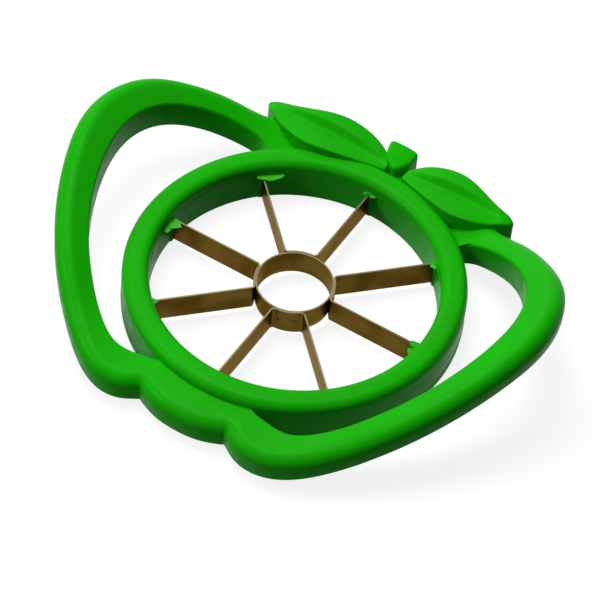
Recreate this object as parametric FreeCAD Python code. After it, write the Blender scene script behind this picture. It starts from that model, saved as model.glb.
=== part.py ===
"""Apple-shaped slicer: a moulded plastic frame cast round a star of eight steel blades.

Millimetres, +Z up. The origin is the centre of the cutting ring, on the plane the ring rests on.
+Y points to the stem of the apple outline, and the right handle lies towards +X.
"""
import FreeCAD, Part
import math
import os

from FreeCAD import Vector

# Cutting ring of the frame
BORE_RADIUS = 45.0
RING_WALL = 8.4
RING_HEIGHT = 15.2
RING_LIP_OUT = 3.0
RING_LIP_IN = 3.0
RING_FOOT = 1.0

# Apple outline of the frame: right half, from the stem round to the middle lobe
OUTER_RIGHT = [(0, 58.5), (20, 58.2), (33, 57.0), (43.6, 52.3), (54.6, 47.6), (66.4, 40.1), (76.5, 29.4),
               (81.7, 15.6), (82.0, 3.0), (78.8, -9.4), (70.8, -27.0), (60.1, -42.2), (47.9, -54.1),
               (37.1, -62.0), (28.1, -65.1)]
FLANK = [(20.4, -64.0), (15.6, -61.2)]
NOTCH = (15.0, -60.9)
LOBE_MIDDLE = [(14.2, -61.4), (8, -63.8), (0, -64.7)]
LOBE_SHIFT = -1.4
WINDOW_EDGE = [(29.0, 34.0), (33.3, 37.3), (37.9, 41.4), (45.4, 41.1), (56.0, 35.5), (65.5, 25.1), (69.6, 11.7),
               (68.5, -2.1), (64.2, -15.6), (57.0, -29.2), (47.7, -40.5), (38.4, -48.8), (30.0, -52.8),
               (25.5, -52.7), (21.4, -52.0), (16.5, -50.6), (13.0, -47.0)]
WINDOW_CLOSE = [(10.0, -38.0), (36.0, 0.0)]

# Section of the handle slab: flat over the lobes, then an arc, then a straight rise to the grip
SLAB_TOP = 11.9
SLAB_THICK = 9.3
RISE_START = 21.6
RISE_RADIUS = 57.0
RISE_ANGLE = 29.5
EDGE_ROUND = 4.2
WINDOW_ROUND = 1.2
UNDER_ROUND = 1.0

# Leaves: plan of one, from the stem round the far side to the tip and back, before both are moved
# over at their stem ends
LEAF_FAR = [(3.0, 57.5), (7.0, 60.9), (13.5, 63.3), (21.0, 63.9), (29.0, 62.1), (36.5, 59.7), (42.8, 58.7)]
LEAF_TIP = (45.4, 56.7)
LEAF_NEAR = [(43.9, 54.2), (38.5, 50.2), (33.0, 47.3), (27.5, 45.8), (21.0, 46.6), (12.0, 50.0), (3.0, 53.5)]
LEAF_SHIFT = 3.5
LEAF_BOTTOM = 4.5
LEAF_CREST = (25.0, 18.2)
LEAF_FALL = 3.0
LEAF_ROUND = 1.1
RIB_LINE = [(41.5, 53.9), (25.0, 55.9), (6.0, 55.3)]
RIB_DEPTHS = (0.15, 2.4, 0.9)
RIB_NEAR_SLOPE = 14.0
RIB_FAR_SLOPE = 52.0

# Stem: a wedge that widens away from the ring
STEM_PLAN = [(3.2, 53.6), (6.2, 58.8), (6.3, 65.2), (-4.5, 65.2), (-2.4, 57.4)]
STEM_TOP = 16.2
STEM_ROUND = 2.0
STEM_EDGE = 1.2

# Steel: core ring and four double blades
CORE_BORE = 11.75
SHEET = 0.5
CORE_TOP = 10.3
CORE_BOTTOM = 1.8
WELD_GAP = 0.02
BLADE_TOP = 10.4
BLADE_BOTTOM = 1.3
BLADE_BEND = 1.1
GRIND = 1.6
EDGE_FLAT = 0.1
ROOT_DEPTH = 3.0
BLADE_PAIRS = 4

# Boss that holds each blade's end
BOSS_WIDTH = 2.6
BOSS_REACH = 0.5
BOSS_ROOT = 2.0
BOSS_CORNER = 0.7
BOSS_ABOVE = 0.5
BOSS_BELOW = 0.5

# How far working shapes run past the part, and how near counts as touching when edges are picked
OVERRUN = 30.0
SHAPE_TOP = 60.0
NEAR = 0.1

RING_RADIUS = BORE_RADIUS + RING_WALL
CORE_RADIUS = CORE_BORE + SHEET
PAIR_STEP = 360.0 / BLADE_PAIRS
HALF_SECTOR = PAIR_STEP / 4
ORIGIN = Vector(0, 0, 0)
UP = Vector(0, 0, 1)


def spline(points, side=1):
    """Smooth curve through plan points, turned over to the left half where side is -1."""
    curve = Part.BSplineCurve()
    curve.interpolate([Vector(side * x, y, 0) for x, y in points])
    return curve.toShape()


def arc_through(points, side=1):
    """Circle arc through three plan points."""
    return Part.Arc(*[Vector(side * x, y, 0) for x, y in points]).toShape()


def closed_face(edges):
    """Flat face inside edges given in any order."""
    return Part.Face(Part.Wire(Part.__sortEdges__(edges)))


def prism(edges, bottom, top):
    """Upright solid over a closed outline, from one height to another."""
    solid = closed_face(edges).extrude(UP * (top - bottom))
    solid.translate(UP * bottom)
    return solid


def rise_points(top, side, reach):
    """Ends and middle of the arc and far end of the straight in the slab face at this height."""
    angle = math.radians(RISE_ANGLE)
    radius = RISE_RADIUS + SLAB_TOP - top
    start = Vector(RISE_START, 0, top)
    centre = start + UP * radius
    middle = centre + Vector(math.sin(angle / 2), 0, -math.cos(angle / 2)) * radius
    end = centre + Vector(math.sin(angle), 0, -math.cos(angle)) * radius
    far = end + Vector(math.cos(angle), 0, math.sin(angle)) * reach
    return [Vector(side * p.x, p.y, p.z) for p in (start, middle, end, far)]


def bent_slab():
    """Solid between the slab's two faces, wide enough to cut the apple outline from."""
    reach = max(x for x, y in OUTER_RIGHT)
    depth = max(y for x, y in OUTER_RIGHT) + OVERRUN
    edges = []
    far_ends = {1: [], -1: []}
    for top in (SLAB_TOP, SLAB_TOP - SLAB_THICK):
        starts = []
        for side in (1, -1):
            start, middle, end, far = rise_points(top, side, reach)
            edges.append(Part.Arc(start, middle, end).toShape())
            edges.append(Part.LineSegment(end, far).toShape())
            starts.append(start)
            far_ends[side].append(far)
        edges.append(Part.LineSegment(*starts).toShape())
    for ends in far_ends.values():
        edges.append(Part.LineSegment(*ends).toShape())
    slab = closed_face(edges).extrude(Vector(0, 2 * depth, 0))
    slab.translate(Vector(0, -depth, 0))
    return slab


def moved(points, side):
    """Plan points on the right (side 1) or left (side -1), moved over with the middle lobe."""
    return [(side * x + LOBE_SHIFT, y) for x, y in points]


def apple_curves():
    """Plan curves of the outside: two cheeks, two notches and the middle lobe."""
    curves = []
    for side in (1, -1):
        flank = moved(FLANK, side)
        curves.append(spline([(side * x, y) for x, y in OUTER_RIGHT] + flank))
        curves.append(arc_through([flank[-1]] + moved([NOTCH, LOBE_MIDDLE[0]], side)))
    curves.append(spline(moved(LOBE_MIDDLE, 1) + moved(LOBE_MIDDLE[-2::-1], -1)))
    return curves


def window(side):
    """Upright prism over one handle window, closed inside the cutting ring."""
    edges = [spline(WINDOW_EDGE, side)]
    rest = [WINDOW_EDGE[-1]] + WINDOW_CLOSE + [WINDOW_EDGE[0]]
    for (x0, y0), (x1, y1) in zip(rest, rest[1:]):
        edges.append(Part.LineSegment(Vector(side * x0, y0, 0), Vector(side * x1, y1, 0)).toShape())
    return prism(edges, -OVERRUN, SHAPE_TOP + OVERRUN)


def edge_middle(edge):
    """Point half-way along an edge."""
    return edge.valueAt((edge.FirstParameter + edge.LastParameter) / 2)


def lies_on(edge, curves):
    """True when the edge's middle, dropped to the base plane, lies on one of these curves."""
    middle = edge_middle(edge)
    probe = Part.Vertex(Vector(middle.x, middle.y, 0))
    return any(probe.distToShape(curve)[0] < NEAR for curve in curves)


def is_upright(edge):
    """True when an edge's two ends have the same place in plan."""
    start, end = edge.Vertexes[0].Point, edge.Vertexes[-1].Point
    return math.hypot(start.x - end.x, start.y - end.y) < 2 * NEAR


def slab_height(x):
    """Height of the slab's upper face at a distance from the middle plane."""
    angle = math.radians(RISE_ANGLE)
    run = abs(x) - RISE_START
    if run <= 0:
        return SLAB_TOP
    arc_run = RISE_RADIUS * math.sin(angle)
    if run <= arc_run:
        return SLAB_TOP + RISE_RADIUS - math.sqrt(RISE_RADIUS ** 2 - run ** 2)
    return SLAB_TOP + RISE_RADIUS * (1 - math.cos(angle)) + (run - arc_run) * math.tan(angle)


def rim_edges(body, curves, upper):
    """Edges of the slab's upper or lower face that follow the given plan curves."""
    found = []
    for edge in body.Edges:
        middle = edge_middle(edge)
        is_upper = middle.z > slab_height(middle.x) - SLAB_THICK / 2
        if not is_upright(edge) and lies_on(edge, curves) and is_upper == upper:
            found.append(edge)
    return found


def handles():
    """Apple outline with both windows, its rims rounded above and eased below."""
    outer = apple_curves()
    inner = [spline(WINDOW_EDGE, side) for side in (1, -1)]
    body = prism(outer, -OVERRUN, SHAPE_TOP).common(bent_slab())
    for side in (1, -1):
        body = body.cut(window(side))
    body = body.Solids[0]
    rims = ((outer, True, EDGE_ROUND), (outer, False, UNDER_ROUND),
            (inner, True, WINDOW_ROUND), (inner, False, UNDER_ROUND))
    for curves, upper, radius in rims:
        body = body.makeFillet(radius, rim_edges(body, curves, upper))
    return body


def cutting_ring():
    """Round wall that carries the blades: an eased foot below and rounded lips above."""
    corners = [(BORE_RADIUS, 0.0, RING_FOOT, 1, 1), (RING_RADIUS, 0.0, RING_FOOT, -1, 1),
               (RING_RADIUS, RING_HEIGHT, RING_LIP_OUT, -1, -1), (BORE_RADIUS, RING_HEIGHT, RING_LIP_IN, 1, -1)]
    edges = []
    joints = []
    for index, (x, z, radius, sx, sz) in enumerate(corners):
        centre = Vector(x + sx * radius, 0, z + sz * radius)
        on_wall = Vector(x, 0, centre.z)
        on_level = Vector(centre.x, 0, z)
        bulge = centre - Vector(sx, 0, sz).normalize() * radius
        first, last = (on_wall, on_level) if index in (0, 2) else (on_level, on_wall)
        edges.append(Part.Arc(first, bulge, last).toShape())
        joints.append((first, last))
    for (_, leave), (reach, _) in zip(joints, joints[1:] + joints[:1]):
        edges.append(Part.LineSegment(leave, reach).toShape())
    return closed_face(edges).revolve(ORIGIN, UP, 360)


def on_leaf(points, side):
    """Plan points of the leaf on one side, moved over more the nearer they are to the stem."""
    return [(side * x + LEAF_SHIFT * (1 - x / LEAF_TIP[0]), y) for x, y in points]


def leaf_arch(x):
    """Height of a leaf's arched upper face before the rib is cut, at a distance before the move."""
    crest_x, crest_z = LEAF_CREST
    return crest_z - LEAF_FALL * ((x - crest_x) / (LEAF_TIP[0] - crest_x)) ** 2


def arched_block(side):
    """Solid whose upper face is an arc over a leaf, highest at the leaf's crest."""
    places = [0, LEAF_CREST[0], 2 * LEAF_CREST[0]]
    start, crest, end = [Vector(moved_x, 0, leaf_arch(x))
                         for x, (moved_x, y) in zip(places, on_leaf([(x, 0) for x in places], side))]
    edges = [Part.Arc(start, crest, end).toShape()]
    corners = [end, Vector(end.x, 0, LEAF_BOTTOM), Vector(start.x, 0, LEAF_BOTTOM), start]
    for first, last in zip(corners, corners[1:]):
        edges.append(Part.LineSegment(first, last).toShape())
    depth = max(y for x, y in LEAF_FAR) + OVERRUN
    return closed_face(edges).extrude(Vector(0, depth, 0))


def rib_cutter(side):
    """Wedge along a leaf's middle rib: a gentle near side and a steep far side."""
    near = 1 / math.tan(math.radians(RIB_NEAR_SLOPE))
    far = 1 / math.tan(math.radians(RIB_FAR_SLOPE))
    above = LEAF_FALL
    wires = []
    for (x, y), depth, (moved_x, _) in zip(RIB_LINE, RIB_DEPTHS, on_leaf(RIB_LINE, side)):
        height = depth + above
        valley = Vector(moved_x, y, leaf_arch(x) - depth)
        points = [valley, valley + Vector(0, -near * height, height), valley + Vector(0, far * height, height)]
        wires.append(Part.makePolygon(points + points[:1]))
    return Part.makeLoft(wires, True, True)


def leaf(side):
    """Leaf on the right (side 1) or left (side -1): a rounded pad with a crisp near lip and one rib."""
    far = spline(on_leaf(LEAF_FAR, side))
    near = spline(on_leaf(LEAF_NEAR, side))
    tip = arc_through(on_leaf([LEAF_FAR[-1], LEAF_TIP, LEAF_NEAR[0]], side))
    ends = [Vector(x, y, 0) for x, y in on_leaf([LEAF_NEAR[-1], LEAF_FAR[0]], side)]
    close = Part.LineSegment(*ends).toShape()
    pad = prism([far, tip, near, close], LEAF_BOTTOM, SHAPE_TOP).common(arched_block(side)).Solids[0]
    low = LEAF_CREST[1] - 2 * LEAF_FALL
    rim = [edge for edge in pad.Edges if edge.BoundBox.ZMin > low and lies_on(edge, [far, tip, near])]
    return pad.makeFillet(LEAF_ROUND, rim).cut(rib_cutter(side))


def stem():
    """Wedge-shaped stem with a pointed near end."""
    base = [Vector(x, y, LEAF_BOTTOM) for x, y in STEM_PLAN]
    block = Part.Face(Part.makePolygon(base + base[:1])).extrude(UP * (STEM_TOP - LEAF_BOTTOM))
    far_end = max(y for x, y in STEM_PLAN)
    upright = [edge for edge in block.Edges if is_upright(edge) and edge.BoundBox.YMax > far_end - NEAR]
    block = block.makeFillet(STEM_ROUND, upright)
    rim = [edge for edge in block.Edges if edge.BoundBox.ZMin > STEM_TOP - NEAR]
    return block.makeFillet(STEM_EDGE, rim)


def boss(index):
    """Block on the ring's inner wall that the end of one blade is moulded into."""
    bottom = BLADE_BOTTOM - BOSS_BELOW
    height = BLADE_TOP + BOSS_ABOVE - bottom
    corner = Vector(BORE_RADIUS - BOSS_REACH, -BOSS_WIDTH / 2, bottom)
    block = Part.makeBox(BOSS_REACH + BOSS_ROOT, BOSS_WIDTH, height, corner)
    upright = [edge for edge in block.Edges if is_upright(edge) and edge.BoundBox.XMax < BORE_RADIUS]
    block = block.makeFillet(BOSS_CORNER, upright)
    block.rotate(ORIGIN, UP, 90.0 - index * PAIR_STEP / 2)
    return block


def core_ring():
    """Rolled steel ring that cuts out the core, ground to an edge below."""
    corners = [(CORE_BORE, CORE_TOP), (CORE_RADIUS, CORE_TOP), (CORE_RADIUS, CORE_BOTTOM + GRIND),
               (CORE_BORE + EDGE_FLAT, CORE_BOTTOM), (CORE_BORE, CORE_BOTTOM)]
    points = [Vector(x, 0, z) for x, z in corners]
    return Part.Face(Part.makePolygon(points + points[:1])).revolve(ORIGIN, UP, 360)


def flipped(point):
    """The same point on the other side of the plane through a double blade's middle."""
    return Vector(point.x, -point.y, point.z)


def strip_wire(thick, height):
    """Outline of a double blade in plan, its two blades at plus and minus half the pair's angle."""
    middle = CORE_RADIUS + WELD_GAP + SHEET / 2
    half_angle = math.radians(HALF_SECTOR)
    bend_angle = half_angle - math.asin(BLADE_BEND / (middle + BLADE_BEND))
    toward_bend = Vector(math.cos(bend_angle), math.sin(bend_angle), 0)
    bend = toward_bend * (middle + BLADE_BEND)
    blade = Vector(math.cos(half_angle), math.sin(half_angle), 0)
    side = Vector(-blade.y, blade.x, 0)
    foot = blade * math.sqrt((middle + BLADE_BEND) ** 2 - BLADE_BEND ** 2)
    runs = []
    ends = []
    for offset in (thick / 2, -thick / 2):
        outer_end = blade * (BORE_RADIUS + ROOT_DEPTH) + side * offset
        tangent = foot + side * offset
        hug_end = toward_bend * (middle - offset)
        outward = (tangent - bend).normalize()
        inward = (hug_end - bend).normalize()
        bend_middle = bend + (outward + inward).normalize() * (BLADE_BEND + offset)
        hug_middle = Vector(middle - offset, 0, 0)
        runs += [Part.LineSegment(outer_end, tangent), Part.Arc(tangent, bend_middle, hug_end),
                 Part.Arc(hug_end, hug_middle, flipped(hug_end)),
                 Part.Arc(flipped(hug_end), flipped(bend_middle), flipped(tangent)),
                 Part.LineSegment(flipped(tangent), flipped(outer_end))]
        ends.append(outer_end)
    runs += [Part.LineSegment(*ends), Part.LineSegment(flipped(ends[0]), flipped(ends[1]))]
    wire = Part.Wire(Part.__sortEdges__([run.toShape() for run in runs]))
    wire.translate(UP * height)
    return wire


def blade_strip(index):
    """One strip bent into two blades and the arc that is welded to the core ring."""
    ground = BLADE_BOTTOM + GRIND
    body = Part.Face(strip_wire(SHEET, ground)).extrude(UP * (BLADE_TOP - ground))
    edge = Part.makeLoft([strip_wire(SHEET, ground), strip_wire(EDGE_FLAT, BLADE_BOTTOM)], True, True)
    strip = body.fuse(edge)
    strip.rotate(ORIGIN, UP, 90.0 + HALF_SECTOR + index * PAIR_STEP)
    return strip.Solids[0]


def frame(strips):
    """The moulding: handles, ring, leaves, stem and bosses in one, cast round the blade ends."""
    hollow = Part.makeCylinder(BORE_RADIUS + RING_WALL / 2, SHAPE_TOP + OVERRUN, ORIGIN - UP * OVERRUN, UP)
    body = handles().cut(hollow)
    adds = [cutting_ring(), leaf(1), leaf(-1), stem()]
    adds += [boss(index) for index in range(2 * BLADE_PAIRS)]
    body = body.fuse(adds)
    for strip in strips:
        body = body.cut(strip)
    return body.Solids[0]


if __name__ == "__main__":
    os.makedirs("parts", exist_ok=True)
    strips = [blade_strip(index) for index in range(BLADE_PAIRS)]
    shapes = {"blade_strip_%d" % (index + 1): strip for index, strip in enumerate(strips)}
    shapes["core_ring"] = core_ring()
    shapes["apple_frame"] = frame(strips)
    for name, shape in shapes.items():
        print(name, len(shape.Solids), shape.isValid(), round(shape.Volume, 1), shape.BoundBox)
        shape.exportStep("parts/" + name + ".step")
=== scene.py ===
import math

import bmesh
import bpy
import numpy as np
from mathutils import Matrix, Vector


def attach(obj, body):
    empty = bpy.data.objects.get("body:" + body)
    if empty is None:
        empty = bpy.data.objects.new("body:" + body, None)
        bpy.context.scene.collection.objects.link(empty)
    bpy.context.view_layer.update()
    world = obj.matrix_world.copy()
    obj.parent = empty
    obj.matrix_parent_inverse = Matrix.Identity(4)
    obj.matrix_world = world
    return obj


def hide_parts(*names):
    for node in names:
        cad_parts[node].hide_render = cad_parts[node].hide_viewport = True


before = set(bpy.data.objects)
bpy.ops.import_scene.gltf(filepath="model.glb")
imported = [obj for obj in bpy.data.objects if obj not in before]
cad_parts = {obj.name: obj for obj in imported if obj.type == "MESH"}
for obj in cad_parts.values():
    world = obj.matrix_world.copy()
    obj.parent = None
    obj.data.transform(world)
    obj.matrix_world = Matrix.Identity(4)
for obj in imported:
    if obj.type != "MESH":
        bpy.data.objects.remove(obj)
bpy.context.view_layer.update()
MM = 0.001

# Camera
# The viewpoint of a shop photograph: half above the tool, from its lower right, slightly rolled.
CAMERA_PLACE = Vector((268.7, -516.9, 686.0)) * MM
LOOK_AZIMUTH = math.radians(117.25)
LOOK_DOWN = math.radians(49.58)
CAMERA_ROLL = math.radians(6.07)
FOCAL_WIDTHS = 4.821


def make_camera():
    """Camera whose view axis has the given azimuth and dip, turned about that axis by the roll."""
    level = Vector((math.cos(LOOK_AZIMUTH), math.sin(LOOK_AZIMUTH), 0))
    ahead = level * math.cos(LOOK_DOWN) - Vector((0, 0, math.sin(LOOK_DOWN)))
    side = ahead.cross(Vector((0, 0, 1))).normalized()
    above = side.cross(ahead)
    right = side * math.cos(CAMERA_ROLL) + above * math.sin(CAMERA_ROLL)
    up = above * math.cos(CAMERA_ROLL) - side * math.sin(CAMERA_ROLL)
    data = bpy.data.cameras.new("camera")
    data.sensor_width = 36.0
    data.lens = FOCAL_WIDTHS * data.sensor_width
    data.clip_end = 10.0
    camera = bpy.data.objects.new("camera", data)
    turn = Matrix((right, up, -ahead)).transposed().to_4x4()
    camera.matrix_world = Matrix.Translation(CAMERA_PLACE) @ turn
    bpy.context.scene.collection.objects.link(camera)
    bpy.context.scene.camera = camera


make_camera()

# Handle loops
# Two finger loops and three lobes draw an apple round the cutting ring. They are one moulding of
# green plastic with the ring, and the loops rise towards the grips on both sides.
OUTER_RIGHT = [(0, 58.5), (20, 58.2), (33, 57.0), (43.6, 52.3), (54.6, 47.6), (66.4, 40.1), (76.5, 29.4),
               (81.7, 15.6), (82.0, 3.0), (78.8, -9.4), (70.8, -27.0), (60.1, -42.2), (47.9, -54.1),
               (37.1, -62.0), (28.1, -65.0)]
FLANK = [(20.4, -64.0), (15.6, -61.2)]
NOTCH = (15.0, -60.9)
LOBE_MIDDLE = [(14.2, -61.4), (8, -63.8), (0, -64.7), (-8, -63.8), (-14.2, -61.4)]
LOBE_SHIFT = -1.4
WINDOW_EDGE = [(29.0, 34.0), (33.3, 37.3), (37.9, 41.4), (45.4, 41.1), (56.0, 35.5), (65.5, 25.1),
               (69.6, 11.7), (68.5, -2.1), (64.2, -15.6), (57.0, -29.2), (47.7, -40.5), (38.4, -48.8),
               (30.0, -52.8), (25.5, -52.7), (21.4, -52.0), (16.5, -50.6), (13.0, -47.0)]
SLAB_TOP = 11.9
SLAB_THICK = 9.3
RISE_START = 21.6
RISE_RADIUS = 57.0
RISE_ANGLE = math.radians(29.5)
EDGE_ROUND = 4.2
WINDOW_ROUND = 1.2
WINDOW_CRISP = 0.5
CRISP_LOW = -40.0
CRISP_HIGH = -20.0
UNDER_ROUND = 1.0
HIDDEN_RADIUS = 50.0
OUTLINE_STEPS = 900
CHEEK_STEPS = 500
LOBE_STEPS = 90
NOTCH_STEPS = 9
WINDOW_STEPS = 400
WINDOW_END = slice(20, 70)
LEAST_TURN = 0.0008
NO_ANGLE = 9.0
CREASE = 35.0


def smooth_curve(points, count):
    """Natural cubic spline through plan points at chord lengths t, sampled evenly in t: the second
    derivatives m solve h0 m0 + 2 (h0 + h1) m1 + h1 m2 = 6 (slope1 - slope0) at each inner point."""
    p = np.array(points, float)
    t = np.r_[0, np.cumsum(np.hypot(*np.diff(p, axis=0).T))]
    h = np.diff(t)
    slope = np.diff(p, axis=0) / h[:, None]
    n = len(p)
    system = np.eye(n)
    right = np.zeros((n, 2))
    for k in range(1, n - 1):
        system[k, k - 1:k + 2] = h[k - 1], 2 * (h[k - 1] + h[k]), h[k]
        right[k] = 6 * (slope[k] - slope[k - 1])
    m = np.linalg.solve(system, right)
    at = np.linspace(0, t[-1], count)
    k = np.clip(np.searchsorted(t, at, side="right") - 1, 0, n - 2)
    a = ((t[k + 1] - at) / h[k])[:, None]
    b = 1 - a
    step = (h[k] ** 2 / 6)[:, None]
    return a * p[k] + b * p[k + 1] + ((a ** 3 - a) * m[k] + (b ** 3 - b) * m[k + 1]) * step


def even_outline(lines, count):
    """Closed outline through the given lines, with its points spread evenly along its length."""
    points = np.vstack(lines + [lines[0][:1]])
    length = np.r_[0, np.cumsum(np.hypot(*np.diff(points, axis=0).T))]
    at = np.linspace(0, length[-1], count, endpoint=False)
    return np.column_stack([np.interp(at, length, points[:, k]) for k in (0, 1)])


def face_height(x, top):
    """Height over x of the slab face that is level at `top` in the middle: level, then a circle arc
    (wider for a lower face, so that the slab keeps its thickness), then straight at the rise angle."""
    radius = RISE_RADIUS + SLAB_TOP - top
    run = np.abs(x) - RISE_START
    arc = radius * math.sin(RISE_ANGLE)
    on_arc = radius - np.sqrt(radius ** 2 - np.clip(run, 0, arc) ** 2)
    return top + on_arc + np.clip(run - arc, 0, None) * math.tan(RISE_ANGLE)


def rounded_edge(line, normal, bend, top, sign, shares):
    """Rows of points round the edge between an upright wall and the sloping face z = face_height: in
    the plane of the wall's normal, a circle that touches both, swept by a quarter turn plus the
    face's tilt (sign 1, upper face) or less it (sign -1, lower face)."""
    reach = 0.01
    slope = (face_height(line[:, 0] + reach, top) - face_height(line[:, 0] - reach, top)) / (2 * reach)
    tilt = np.arctan(slope * normal[:, 0])
    rows = []
    for share in shares:
        angle = sign * share * (math.pi / 2 + sign * tilt)
        place = line - normal * (bend * (1 - np.cos(angle)))[:, None]
        below = bend * (1 / np.cos(tilt) - sign * np.sin(angle) + sign * np.tan(tilt) * np.cos(angle))
        rows.append(np.column_stack([place, face_height(place[:, 0], top) - sign * below]))
    return rows


def smoothstep(low, high, value):
    """0 below low, 1 above high, and 3 t^2 - 2 t^3 between."""
    t = np.clip((value - low) / (high - low), 0, 1)
    return t * t * (3 - 2 * t)


def loop_normals(points):
    """Unit normals to the left of a closed line of plan points, from the chord of both neighbours."""
    chord = np.roll(points, -1, axis=0) - np.roll(points, 1, axis=0)
    chord /= np.hypot(*chord.T)[:, None]
    return np.stack([-chord[:, 1], chord[:, 0]], axis=1)


def quads(rows, columns):
    """Faces of a grid that closes in both directions, vertex (i, j) being i * columns + j."""
    i, j = np.meshgrid(np.arange(rows), np.arange(columns), indexing="ij")
    i2, j2 = (i + 1) % rows, (j + 1) % columns
    corners = [i * columns + j, i2 * columns + j, i2 * columns + j2, i * columns + j2]
    return np.stack(corners, -1).reshape(-1, 4)


def make_piece(name, vertices, faces):
    """Mesh object of vertices in millimetres, with smooth faces split where they meet more sharply."""
    mesh = bpy.data.meshes.new(name)
    mesh.from_pydata((np.asarray(vertices) * MM).tolist(), [], [list(map(int, face)) for face in faces])
    mesh.shade_smooth()
    mesh.set_sharp_from_angle(angle=math.radians(CREASE))
    piece = bpy.data.objects.new(name, mesh)
    bpy.context.scene.collection.objects.link(piece)
    return piece


def moved(points, side):
    """Plan points on the right (side 1) or left (side -1), moved over with the middle lobe."""
    return [(side * x + LOBE_SHIFT, y) for x, y in points]


def apple_outlines():
    """Outer and inner line of the loops on shared azimuths: where no window is, the inner line is a
    circle hidden in the ring, so r_inner = max(window, hidden circle)."""
    lobe = smooth_curve(moved(LOBE_MIDDLE, 1), LOBE_STEPS)
    parts = []
    for side, last in ((1, lobe[0]), (-1, lobe[-1])):
        flank = moved(FLANK, side)
        cheek = smooth_curve([(side * x, y) for x, y in OUTER_RIGHT] + flank, CHEEK_STEPS)
        notch = smooth_curve([flank[-1], moved([NOTCH], side)[0], last], NOTCH_STEPS)
        parts.append(np.vstack([cheek, notch[1:-1]]))
    outer = even_outline([parts[0], lobe, parts[1][:0:-1]], OUTLINE_STEPS)[::-1]
    turn = np.unwrap(np.arctan2(outer[:, 1], outer[:, 0]))
    ends = smooth_curve(WINDOW_EDGE, WINDOW_STEPS)[WINDOW_END]
    end_angle = np.arctan2(ends[:, 1], ends[:, 0])
    extra = np.r_[end_angle, math.pi - end_angle]
    extra = turn[0] + np.mod(extra - turn[0], 2 * math.pi)
    finer = np.sort(np.r_[turn, extra[np.abs(extra[:, None] - turn).min(axis=1) > LEAST_TURN]])
    outer = np.column_stack([np.interp(finer, turn, outer[:, k]) for k in (0, 1)])
    angle = np.arctan2(outer[:, 1], outer[:, 0])
    inner_radius = np.full(len(outer), HIDDEN_RADIUS)
    for side in (1, -1):
        window = smooth_curve(WINDOW_EDGE, WINDOW_STEPS)[::-1] * [side, 1]
        window_angle = np.arctan2(side * window[:, 1], side * window[:, 0])
        turned = np.arctan2(side * np.sin(angle), side * np.cos(angle))
        own_angle = np.where(np.cos(angle) * side > 0, turned, NO_ANGLE)
        order = np.argsort(window_angle)
        radius = np.interp(own_angle, window_angle[order], np.hypot(*window.T)[order], left=0, right=0)
        inner_radius = np.maximum(inner_radius, radius)
    ray = np.stack([np.cos(angle), np.sin(angle)], axis=1)
    return outer, ray * inner_radius[:, None]


def between(first, last, top, count):
    """Rows of points on a slab face, evenly spread in plan between two rows."""
    rows = []
    for share in np.linspace(0, 1, count + 2)[1:-1]:
        place = first[:, :2] * (1 - share) + last[:, :2] * share
        rows.append(np.column_stack([place, face_height(place[:, 0], top)]))
    return rows


def window_bend(inner):
    """Radius of the windows' upper rim: soft along the grips, tight by the lobes, none in the ring."""
    bend = WINDOW_CRISP + (WINDOW_ROUND - WINDOW_CRISP) * smoothstep(CRISP_LOW, CRISP_HIGH, inner[:, 1])
    return bend * smoothstep(HIDDEN_RADIUS, HIDDEN_RADIUS + 3, np.hypot(*inner.T))


def handle_loops():
    """Section carried round the apple outline: up the outer wall, over its rounded edge, across the
    top, down the inner wall and back below."""
    outer, inner = apple_outlines()
    out_normal = -loop_normals(outer)
    in_normal = loop_normals(inner)
    edge = np.full(len(outer), EDGE_ROUND)
    under = np.full(len(outer), UNDER_ROUND)
    low = SLAB_TOP - SLAB_THICK
    round_steps = np.linspace(0, 1, 11)
    ease_steps = np.linspace(0, 1, 6)
    out_low = rounded_edge(outer, out_normal, under, low, -1, ease_steps[::-1])
    out_high = rounded_edge(outer, out_normal, edge, SLAB_TOP, 1, round_steps)
    in_high = rounded_edge(inner, in_normal, window_bend(inner), SLAB_TOP, 1, round_steps[::-1])
    in_low = rounded_edge(inner, in_normal, under, low, -1, ease_steps)
    top = between(out_high[-1], in_high[0], SLAB_TOP, 9)
    bottom = between(in_low[-1], out_low[0], low, 5)
    section = np.array(out_low + out_high + top + in_high + in_low + bottom)
    rows, columns = section.shape[:2]
    return make_piece("loops", section.reshape(-1, 3), quads(rows, columns)[:, ::-1])


loops = handle_loops()

# Cutting ring
# The round wall that presses the apple down over the blades, part of the same moulding: upright
# walls, a softly rounded lip outside and a tighter one inside, and an eased foot.
BORE_RADIUS = 45.0
RING_WALL = 8.4
RING_HEIGHT = 15.2
RING_LIP_OUT = 3.0
RING_LIP_IN = 3.0
RING_FOOT = 1.0
RING_STEPS = 288


def rounded_section(inside, outside, bottom, top, foot, lip_in, lip_out):
    """Closed ring section (radius, height): each corner is a quarter circle about its own centre."""
    corners = [(outside, bottom, foot, -1, 1, 0), (outside, top, lip_out, -1, -1, 90),
               (inside, top, lip_in, 1, -1, 180), (inside, bottom, foot, 1, 1, 270)]
    section = []
    for radius, height, bend, sx, sz, turn in corners:
        angle = np.radians(np.linspace(turn - 90, turn, 9))
        section.append(np.column_stack([radius + sx * bend + bend * np.cos(angle),
                                        height + sz * bend + bend * np.sin(angle)]))
    return np.vstack(section)


def revolve(name, section, steps):
    """Ring section turned about the Z axis: x = r cos a, y = r sin a, z = h."""
    angle = np.linspace(0, 2 * math.pi, steps, endpoint=False)
    radius, height = section.T
    x = np.cos(angle)[:, None] * radius
    y = np.sin(angle)[:, None] * radius
    z = np.broadcast_to(height, x.shape)
    vertices = np.stack([x, y, z], axis=-1).reshape(-1, 3)
    return make_piece(name, vertices, quads(steps, len(section)))


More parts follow.
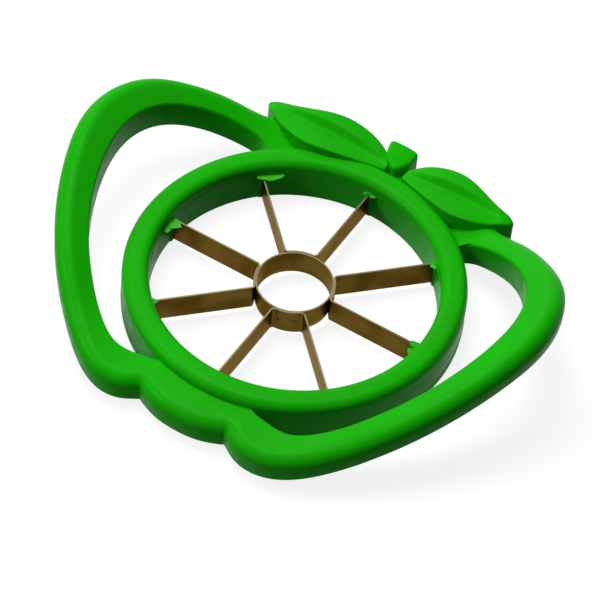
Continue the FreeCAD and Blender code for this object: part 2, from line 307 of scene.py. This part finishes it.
ring = revolve("ring", rounded_section(BORE_RADIUS, BORE_RADIUS + RING_WALL, 0, RING_HEIGHT,
                                       RING_FOOT, RING_LIP_IN, RING_LIP_OUT), RING_STEPS)

# Leaves
# Two leaves lie over the loops where they meet the ring, each a raised pad of the same moulding with
# a crisp near lip and one rib: its near half slopes down to the rib, its far half stands up behind it.
LEAF_FAR = [(3.0, 57.5), (7.0, 60.9), (13.5, 63.3), (21.0, 63.9), (29.0, 62.1), (36.5, 59.7), (42.8, 58.7)]
LEAF_TIP = (45.4, 56.7)
LEAF_NEAR = [(43.9, 54.2), (38.5, 50.2), (33.0, 47.3), (27.5, 45.8), (21.0, 46.6), (12.0, 50.0), (3.0, 53.5)]
LEAF_SHIFT = 3.5
LEAF_BOTTOM = 4.5
LEAF_CREST = (25.0, 18.2)
LEAF_FALL = 3.0
LEAF_CENTRE = (25.0, 55.5)
LEAF_ROUND = 1.8
LEAF_LIP = 0.5
RIB_MIDDLE = (22.0, 56.0)
RIB_BOW = 0.004
RIB_HALF = 20.0
RIB_DEPTH = 2.6
RIB_NEAR = 9.5
RIB_FAR = 2.6
LEAF_STEPS = 260
LEAF_CURVE_STEPS = 120
LEAF_TIP_STEPS = 12
ROUND_FROM = 54.0
ROUND_TO = 60.0
PAD_FLOOR_RINGS = 8
PAD_ROUND_STEPS = 9
PAD_TOP_RINGS = 42


def pad(name, outline, centre, height, bottom, bend):
    """Closed pad over a counter-clockwise plan outline: wall, quarter round of the given radius at the
    rim, then rings that shrink towards the centre, with the upper face at height(x, y)."""
    normal = -loop_normals(outline)
    centre = np.array(centre, float)
    rows = []

    def row(place, drop):
        rows.append(np.column_stack([place, height(place[:, 0], place[:, 1]) - drop]))

    for share in np.linspace(0, 1, PAD_FLOOR_RINGS)[1:]:
        place = centre + (outline - centre) * share
        rows.append(np.column_stack([place, np.full(len(place), bottom)]))
    bend = np.broadcast_to(np.asarray(bend, float), len(outline))
    for turn in np.radians(np.linspace(0, 90, PAD_ROUND_STEPS)):
        row(outline - normal * (bend * (1 - np.cos(turn)))[:, None], bend * (1 - np.sin(turn)))
    rim = outline - normal * bend[:, None]
    for share in np.linspace(1, 0, PAD_TOP_RINGS)[1:-1]:
        row(centre + (rim - centre) * share, 0)
    grid = np.array(rows)
    levels, columns = grid.shape[:2]
    low = np.array([[*centre, bottom]])
    high = np.array([[*centre, float(height(centre[:1], centre[1:])[0])]])
    vertices = np.vstack([grid.reshape(-1, 3), low, high])
    i, j = np.meshgrid(np.arange(levels - 1), np.arange(columns), indexing="ij")
    j2 = (j + 1) % columns
    faces = np.stack([i * columns + j, i * columns + j2, (i + 1) * columns + j2, (i + 1) * columns + j], -1)
    faces = faces.reshape(-1, 4).tolist()
    around = np.arange(columns)
    after = (around + 1) % columns
    last = (levels - 1) * columns
    faces += np.column_stack([after, around, np.full(columns, len(vertices) - 2)]).tolist()
    faces += np.column_stack([last + around, last + after, np.full(columns, len(vertices) - 1)]).tolist()
    return make_piece(name, vertices, faces)


def leaf_height(run, y):
    """Upper face of a leaf at a distance `run` along it, before the move: an arch, less a valley that
    is straight on its near side and an S-shaped bank on its far side."""
    arch = LEAF_CREST[1] - LEAF_FALL * ((run - LEAF_CREST[0]) / (LEAF_TIP[0] - LEAF_CREST[0])) ** 2
    rib = RIB_MIDDLE[1] - RIB_BOW * (run - RIB_MIDDLE[0]) ** 2
    depth = RIB_DEPTH * np.clip(1 - ((run - RIB_MIDDLE[0]) / RIB_HALF) ** 2, 0, 1)
    across = y - rib
    near = np.clip(1 + across / RIB_NEAR, 0, 1)
    far = 1 - smoothstep(0, RIB_FAR, across)
    return arch - depth * np.where(across < 0, near, far)


def leaf(side):
    """Leaf pad on the right (side 1) or left (side -1), moved over more the nearer it is to the stem:
    x = side * run + shift * (1 - run / tip)."""
    stretch = side - LEAF_SHIFT / LEAF_TIP[0]
    far = smooth_curve(LEAF_FAR, LEAF_CURVE_STEPS)
    tip = smooth_curve([LEAF_FAR[-1], LEAF_TIP, LEAF_NEAR[0]], LEAF_TIP_STEPS)
    near = smooth_curve(LEAF_NEAR, LEAF_CURVE_STEPS)
    outline = even_outline([far, tip[1:-1], near], LEAF_STEPS)[::-1] * [stretch, 1] + [LEAF_SHIFT, 0]
    centre = np.array(LEAF_CENTRE) * [stretch, 1] + [LEAF_SHIFT, 0]
    if side < 0:
        outline = outline[::-1]
    bend = LEAF_LIP + (LEAF_ROUND - LEAF_LIP) * smoothstep(ROUND_FROM, ROUND_TO, outline[:, 1])

    def height(x, y):
        return leaf_height((x - LEAF_SHIFT) / stretch, y)

    return pad("leaf", outline, centre, height, LEAF_BOTTOM, bend)


leaves = [leaf(1), leaf(-1)]

# Stem
# A wedge-shaped knob between the leaves, pointed towards the ring and wider away from it.
STEM_PLAN = [(3.2, 53.6), (6.2, 58.8), (6.3, 65.2), (-4.5, 65.2), (-2.4, 57.4)]
STEM_TOP = 16.2
STEM_ROUND = 2.0
STEM_EDGE = 1.2
STEM_CENTRE = (0, 60.5)
STEM_CROWN = 0.02
STEM_STEPS = 120


def round_corners(points, radius, steps=6):
    """Closed outline whose corners are quadratic curves between points a radius before and after."""
    p = np.array(points, float)
    before = np.roll(p, 1, axis=0) - p
    after = np.roll(p, -1, axis=0) - p
    start = p + before / np.hypot(*before.T)[:, None] * radius
    end = p + after / np.hypot(*after.T)[:, None] * radius
    t = np.linspace(0, 1, steps)[None, :, None]
    curve = start[:, None] * (1 - t) ** 2 + 2 * p[:, None] * t * (1 - t) + end[:, None] * t ** 2
    return curve.reshape(-1, 2)


def stem_height(x, y):
    """Upper face of the stem, crowned a little: top - crown * x^2."""
    return STEM_TOP - STEM_CROWN * np.square(x)


stem_outline = even_outline([round_corners(STEM_PLAN, STEM_ROUND)], STEM_STEPS)
stem = pad("stem", stem_outline, STEM_CENTRE, stem_height, LEAF_BOTTOM, STEM_EDGE)

# Blade bosses
# Small blocks on the ring's inner wall, one round the end of each blade.
BLADE_COUNT = 8
BLADE_TOP = 10.4
BLADE_BOTTOM = 1.3
BOSS_WIDTH = 2.6
BOSS_REACH = 0.5
BOSS_ROOT = 2.0
BOSS_CORNER = 0.7
BOSS_RIM = 0.3
BOSS_MARGIN = 0.5
BOSS_STEPS = 48


def boss(index):
    """Upright rounded block whose plan is turned to the azimuth of its blade."""
    inner, outer = BORE_RADIUS - BOSS_REACH, BORE_RADIUS + BOSS_ROOT
    half = BOSS_WIDTH / 2
    plan = [(inner, -half), (outer, -half), (outer, half), (inner, half)]
    outline = even_outline([round_corners(plan, BOSS_CORNER)], BOSS_STEPS)
    angle = math.radians(90.0 - index * 360.0 / BLADE_COUNT)
    turn = np.array([[math.cos(angle), math.sin(angle)], [-math.sin(angle), math.cos(angle)]])
    outline = outline @ turn
    top = BLADE_TOP + BOSS_MARGIN
    centre = np.array([(inner + outer) / 2, 0]) @ turn

    def height(x, y):
        return np.full(np.shape(x), top)

    return pad("boss", outline, centre, height, BLADE_BOTTOM - BOSS_MARGIN, BOSS_RIM)


bosses = [boss(index) for index in range(BLADE_COUNT)]

# Flash and parting lines
# Thin webs of the moulding that squeezed out along the wall at the blades' spines, each given by
# its azimuths in degrees and its reach in millimetres, and the two fine ridges of the mould's joint.
FLASHES = [(125.8, 138.0, 2.4), (179.2, 185.2, 4.0), (184.6, 188.2, 2.0), (90.6, 92.2, 1.5),
           (86.8, 89.8, 1.3), (41.8, 45.4, 1.9), (-2.2, 1.4, 3.6), (-6.4, -2.0, 2.4),
           (-136.0, -133.2, 2.2), (-93.0, -88.6, 0.8), (-47.0, -43.6, 0.8)]
FLASH_LOW = 10.25
FLASH_HIGH = 10.6
FLASH_ROOT = 0.6
FLASH_SAG = 0.25
FLASH_EDGE = 0.1
FLASH_STEPS = 40
RIDGE = 0.12
RIDGE_ROOT = 0.5
RIDGE_BEND = 0.05
INNER_RIDGE_HEIGHT = 10.9
OUTER_RIDGE_HEIGHT = 3.0


def flash(number, start, end, reach):
    """Thin web on the ring's inner wall: over its span t the free edge stands in by
    reach * sin(pi t)^0.45 * (1 + a ragged sum of sines), from an upper face down to a lower one."""
    t = np.linspace(0, 1, FLASH_STEPS)
    angle = np.radians(start + (end - start) * t)
    ragged = 0.07 * np.sin(11 * t + number) + 0.035 * np.sin(31 * t + 2.0 * number)
    out = np.clip(np.sin(math.pi * t), 0, 1) ** 0.45 * (1 + ragged)
    free = BORE_RADIUS - reach * out
    root = np.full(len(t), BORE_RADIUS + FLASH_ROOT)
    sag = FLASH_SAG * np.sin(9 * t + number) * out
    level = np.ones(len(t))
    rows = []
    for radius, height in ((free, FLASH_HIGH * level - FLASH_EDGE + sag), (root, FLASH_HIGH * level),
                           (root, FLASH_LOW * level), (free, FLASH_LOW * level + FLASH_EDGE + sag)):
        rows.append(np.column_stack([radius * np.cos(angle), radius * np.sin(angle), height]))
    grid = np.array(rows).transpose(1, 0, 2)
    i, j = np.meshgrid(np.arange(len(t) - 1), np.arange(4), indexing="ij")
    j2 = (j + 1) % 4
    faces = np.stack([i * 4 + j, i * 4 + j2, i * 4 + 4 + j2, i * 4 + 4 + j], -1).reshape(-1, 4).tolist()
    last = 4 * (len(t) - 1)
    faces += [[3, 2, 1, 0], [last, last + 1, last + 2, last + 3]]
    piece = make_piece("flash_%d" % number, grid.reshape(-1, 3), faces)
    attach(piece, "root")
    return piece


def parting_line(name, inside, outside, height):
    """Fine ridge all round a wall of the ring, at the height where the halves of the mould meet."""
    bends = (RIDGE_BEND, RIDGE_BEND, RIDGE_BEND)
    section = rounded_section(inside, outside, height - RIDGE, height + RIDGE, *bends)
    piece = revolve(name, section, RING_STEPS)
    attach(piece, "root")
    return piece


flashes = [flash(number + 1, *values) for number, values in enumerate(FLASHES)]
ring_outside = BORE_RADIUS + RING_WALL
ridges = [
    parting_line("inner_parting_line", BORE_RADIUS - RIDGE, BORE_RADIUS + RIDGE_ROOT, INNER_RIDGE_HEIGHT),
    parting_line("outer_parting_line", ring_outside - RIDGE_ROOT, ring_outside + RIDGE, OUTER_RIDGE_HEIGHT),
]

# Spot welds
# Small round marks where the near blade strip is welded to the core ring.
WELD_AZIMUTHS = (-79.5, -57.0)
WELD_HEIGHT = 6.0
WELD_RADIUS = 0.75
WELD_FLATNESS = 0.3
STRIP_FACE = 12.78


def weld(number, azimuth):
    """Low round button on the strip's arc: its height over the face is h * sqrt(1 - (r / R)^2)."""
    mesh = bpy.data.meshes.new("weld_%d" % number)
    shape = bmesh.new()
    bmesh.ops.create_uvsphere(shape, u_segments=20, v_segments=10, radius=WELD_RADIUS * MM)
    bmesh.ops.scale(shape, vec=(WELD_FLATNESS, 1, 1), verts=shape.verts)
    bmesh.ops.translate(shape, vec=(STRIP_FACE * MM, 0, WELD_HEIGHT * MM), verts=shape.verts)
    bmesh.ops.rotate(shape, matrix=Matrix.Rotation(math.radians(azimuth), 3, "Z"), verts=shape.verts)
    shape.to_mesh(mesh)
    shape.free()
    mesh.shade_smooth()
    piece = bpy.data.objects.new("weld_%d" % number, mesh)
    bpy.context.scene.collection.objects.link(piece)
    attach(piece, "root")
    return piece


welds = [weld(number + 1, azimuth) for number, azimuth in enumerate(WELD_AZIMUTHS)]

# One moulding
# Loops, ring, leaves, stem and bosses joined into the single piece of plastic that they are.


def unite(base, others, name):
    """One closed mesh of several overlapping ones, by boolean union."""
    group = bpy.data.collections.new("union")
    bpy.context.scene.collection.children.link(group)
    for other in others:
        bpy.context.scene.collection.objects.unlink(other)
        group.objects.link(other)
    union = base.modifiers.new("union", "BOOLEAN")
    union.operation = "UNION"
    union.solver = "MANIFOLD"
    union.operand_type = "COLLECTION"
    union.collection = group
    graph = bpy.context.evaluated_depsgraph_get()
    mesh = bpy.data.meshes.new_from_object(base.evaluated_get(graph))
    mesh.name = name
    for piece in others + [base]:
        bpy.data.objects.remove(piece)
    bpy.data.collections.remove(group)
    mesh.shade_smooth()
    mesh.set_sharp_from_angle(angle=math.radians(CREASE))
    piece = bpy.data.objects.new(name, mesh)
    bpy.context.scene.collection.objects.link(piece)
    return piece


moulding = unite(loops, [ring] + leaves + [stem] + bosses, "frame_moulding")
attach(moulding, "root")
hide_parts("apple_frame")

# Materials
# Satin green moulding plastic with a fine moulded grain, uneven gloss and light scuffs, and rolled
# stainless sheet with grain along the blades, brown stains and a painted highlight along the upper edges.
FLASH_GREEN = (0.09, 0.55, 0.04)
PLASTIC_GREEN = (0.007, 0.44, 0.001)
PLASTIC_DEEP = (0.011, 0.38, 0.003)
STEEL_BROWN = (0.062, 0.034, 0.004)
STEEL_PALE = (0.120, 0.072, 0.014)
# Painted highlight: the paler colour given to the blades' lit upper edges.
STEEL_PAINTED_HIGHLIGHT = (0.15, 0.125, 0.065)
PLASTIC_SHADE_SCALE = 38
PLASTIC_SCUFF_SCALE = 420
PLASTIC_SCUFF_STRETCH = (1, 0.12, 1)
PLASTIC_GLOSS = (0.33, 0.52)
PLASTIC_GRAIN_SCALE = 2600
PLASTIC_GRAIN_DEPTH = 0.00003
PLASTIC_WAVE_SCALE = 110
PLASTIC_WAVE_DEPTH = 0.00012
PLASTIC_REFLECTION = 0.06
PLASTIC_TINT = (0.55, 1.0, 0.50, 1)
STEEL_STAIN_SCALE = 90
STEEL_BRUSH_SCALE = 60
STEEL_BRUSH_STRETCH = (1, 1, 60)
STEEL_BRUSH_DEPTH = 0.00004
STEEL_GLOSS = (0.26, 0.46)
STEEL_TINT = (0.86, 0.70, 0.50, 1)
STEEL_HIGHLIGHT_FROM = 0.01024
STEEL_HIGHLIGHT_TO = 0.01029


def add_noise(tree, scale, detail, stretch=(1, 1, 1)):
    """Noise over object coordinates in metres, stretched by a scale per axis; gives its value socket."""
    place = tree.nodes.new("ShaderNodeTexCoord")
    mapping = tree.nodes.new("ShaderNodeMapping")
    mapping.inputs["Scale"].default_value = stretch
    noise = tree.nodes.new("ShaderNodeTexNoise")
    noise.inputs["Scale"].default_value = scale
    noise.inputs["Detail"].default_value = detail
    tree.links.new(place.outputs["Object"], mapping.inputs["Vector"])
    tree.links.new(mapping.outputs["Vector"], noise.inputs["Vector"])
    return noise.outputs["Fac"]


def add_range(tree, value, low, high, to_low, to_high):
    """A value carried from one range to another, clamped at both ends."""
    node = tree.nodes.new("ShaderNodeMapRange")
    node.inputs["From Min"].default_value = low
    node.inputs["From Max"].default_value = high
    node.inputs["To Min"].default_value = to_low
    node.inputs["To Max"].default_value = to_high
    tree.links.new(value, node.inputs["Value"])
    return node.outputs["Result"]


def add_mix(tree, share, first, second):
    """Colour between two, each a fixed colour or a socket."""
    node = tree.nodes.new("ShaderNodeMix")
    node.data_type = "RGBA"
    tree.links.new(share, node.inputs[0])
    for socket, colour in ((node.inputs[6], first), (node.inputs[7], second)):
        if isinstance(colour, tuple):
            socket.default_value = (*colour, 1)
        else:
            tree.links.new(colour, socket)
    return node.outputs[2]


def add_bump(tree, height, distance, under=None):
    """Bump of a height socket, on top of another bump where one is given."""
    node = tree.nodes.new("ShaderNodeBump")
    node.inputs["Distance"].default_value = distance
    tree.links.new(height, node.inputs["Height"])
    if under is not None:
        tree.links.new(under, node.inputs["Normal"])
    return node.outputs["Normal"]


def new_material(name):
    """Empty principled material: the material, its tree and its shader."""
    material = bpy.data.materials.new(name)
    material.use_nodes = True
    tree = material.node_tree
    return material, tree, tree.nodes["Principled BSDF"]


def green_plastic(name, pale, deep):
    """Saturated green moulded plastic with a satin skin, between two shades."""
    material, tree, shader = new_material(name)
    shade = add_range(tree, add_noise(tree, PLASTIC_SHADE_SCALE, 4), 0.35, 0.65, 0, 1)
    tree.links.new(add_mix(tree, shade, pale, deep), shader.inputs["Base Color"])
    scuff = add_noise(tree, PLASTIC_SCUFF_SCALE, 3, PLASTIC_SCUFF_STRETCH)
    gloss = add_range(tree, scuff, 0.45, 0.72, *PLASTIC_GLOSS)
    tree.links.new(gloss, shader.inputs["Roughness"])
    grain = add_bump(tree, add_noise(tree, PLASTIC_GRAIN_SCALE, 2), PLASTIC_GRAIN_DEPTH)
    waves = add_bump(tree, add_noise(tree, PLASTIC_WAVE_SCALE, 2), PLASTIC_WAVE_DEPTH, grain)
    tree.links.new(waves, shader.inputs["Normal"])
    shader.inputs["Specular IOR Level"].default_value = PLASTIC_REFLECTION
    shader.inputs["Specular Tint"].default_value = PLASTIC_TINT
    return material


def steel():
    """Rolled stainless sheet: horizontal grain, brown stains, and a painted highlight, a paler metal colour,
    along the upper edges.
    """
    material, tree, shader = new_material("steel")
    stain = add_range(tree, add_noise(tree, STEEL_STAIN_SCALE, 4), 0.38, 0.62, 0, 1)
    face = add_mix(tree, stain, STEEL_BROWN, STEEL_PALE)
    place = tree.nodes.new("ShaderNodeTexCoord")
    axes = tree.nodes.new("ShaderNodeSeparateXYZ")
    tree.links.new(place.outputs["Object"], axes.inputs["Vector"])
    # Painted highlight: above the spines' height the base colour turns paler, standing in for the light on
    # the upper edges.
    painted_highlight = add_range(tree, axes.outputs["Z"], STEEL_HIGHLIGHT_FROM, STEEL_HIGHLIGHT_TO, 0, 1)
    tree.links.new(add_mix(tree, painted_highlight, face, STEEL_PAINTED_HIGHLIGHT), shader.inputs["Base Color"])
    brushed = add_noise(tree, STEEL_BRUSH_SCALE, 3, STEEL_BRUSH_STRETCH)
    tree.links.new(add_range(tree, brushed, 0.3, 0.7, *STEEL_GLOSS), shader.inputs["Roughness"])
    tree.links.new(add_bump(tree, brushed, STEEL_BRUSH_DEPTH), shader.inputs["Normal"])
    shader.inputs["Metallic"].default_value = 1.0
    shader.inputs["Specular Tint"].default_value = STEEL_TINT
    return material


moulding.data.materials.clear()
moulding.data.materials.append(green_plastic("green_plastic", PLASTIC_GREEN, PLASTIC_DEEP))
thin_green = green_plastic("green_flash", FLASH_GREEN, PLASTIC_GREEN)
for piece in flashes:
    piece.data.materials.append(thin_green)
for piece in ridges:
    piece.data.materials.append(moulding.data.materials[0])
metal = steel()
for piece in welds:
    piece.data.materials.append(metal)
for name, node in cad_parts.items():
    if name != "apple_frame":
        node.material_slots[0].material = metal

# Floor and light
# A white floor under the tool, a soft lamp overhead, a smaller one at its near left and a weak one at
# its far left, and a dim surround.
FLOOR_GREY = (0.20, 0.20, 0.20)
FLOOR_SHARE = 0.15
FLOOR_HALF = 3.0
SURROUND = 0.06


def add_seen(tree):
    """1 for rays from the camera and for mirrored and transmitted ones, 0 for the light on things."""
    path = tree.nodes.new("ShaderNodeLightPath")
    total = path.outputs["Is Camera Ray"]
    for name in ("Is Glossy Ray", "Is Transmission Ray"):
        node = tree.nodes.new("ShaderNodeMath")
        node.operation = "MAXIMUM"
        tree.links.new(total, node.inputs[0])
        tree.links.new(path.outputs[name], node.inputs[1])
        total = node.outputs["Value"]
    return total


def make_floor():
    """Level square: a grey that keeps the shadow, under a white that only the camera and mirrored
    rays see."""
    half = FLOOR_HALF
    corners = [(-half, -half, 0), (half, -half, 0), (half, half, 0), (-half, half, 0)]
    mesh = bpy.data.meshes.new("floor")
    mesh.from_pydata(corners, [], [(0, 1, 2, 3)])
    floor = bpy.data.objects.new("floor", mesh)
    bpy.context.scene.collection.objects.link(floor)
    material, tree, shader = new_material("floor")
    shader.inputs["Base Color"].default_value = (*FLOOR_GREY, 1)
    shader.inputs["Roughness"].default_value = 0.9
    shader.inputs["Specular IOR Level"].default_value = 0.0
    shader.inputs["Emission Color"].default_value = (1, 1, 1, 1)
    glow = add_range(tree, add_seen(tree), 0, 1, 0, 1 - FLOOR_SHARE)
    tree.links.new(glow, shader.inputs["Emission Strength"])
    floor.data.materials.append(material)


def make_lamp(name, place, size, power):
    """Square area lamp at a place in metres, facing the tool."""
    data = bpy.data.lights.new(name, "AREA")
    data.size = size
    data.energy = power
    lamp = bpy.data.objects.new(name, data)
    lamp.location = place
    lamp.rotation_euler = (-Vector(place)).to_track_quat("-Z", "Y").to_euler()
    bpy.context.scene.collection.objects.link(lamp)


def make_world():
    """Dim surround that shows white to the camera and in reflections."""
    world = bpy.data.worlds.new("world")
    bpy.context.scene.world = world
    world.use_nodes = True
    tree = world.node_tree
    background = tree.nodes["Background"]
    background.inputs["Color"].default_value = (1, 1, 1, 1)
    tree.links.new(add_range(tree, add_seen(tree), 0, 1, SURROUND, 1.0), background.inputs["Strength"])


make_floor()
make_lamp("overhead_lamp", (-0.35, 0.15, 1.15), 0.6, 10.8)
make_lamp("window_lamp", (-1.0, -0.74, 0.94), 0.34, 7.5)
make_lamp("far_lamp", (-0.72, 0.68, 0.70), 0.5, 2.2)
make_world()
bpy.context.scene.view_settings.view_transform = "Standard"

bpy.context.view_layer.update()
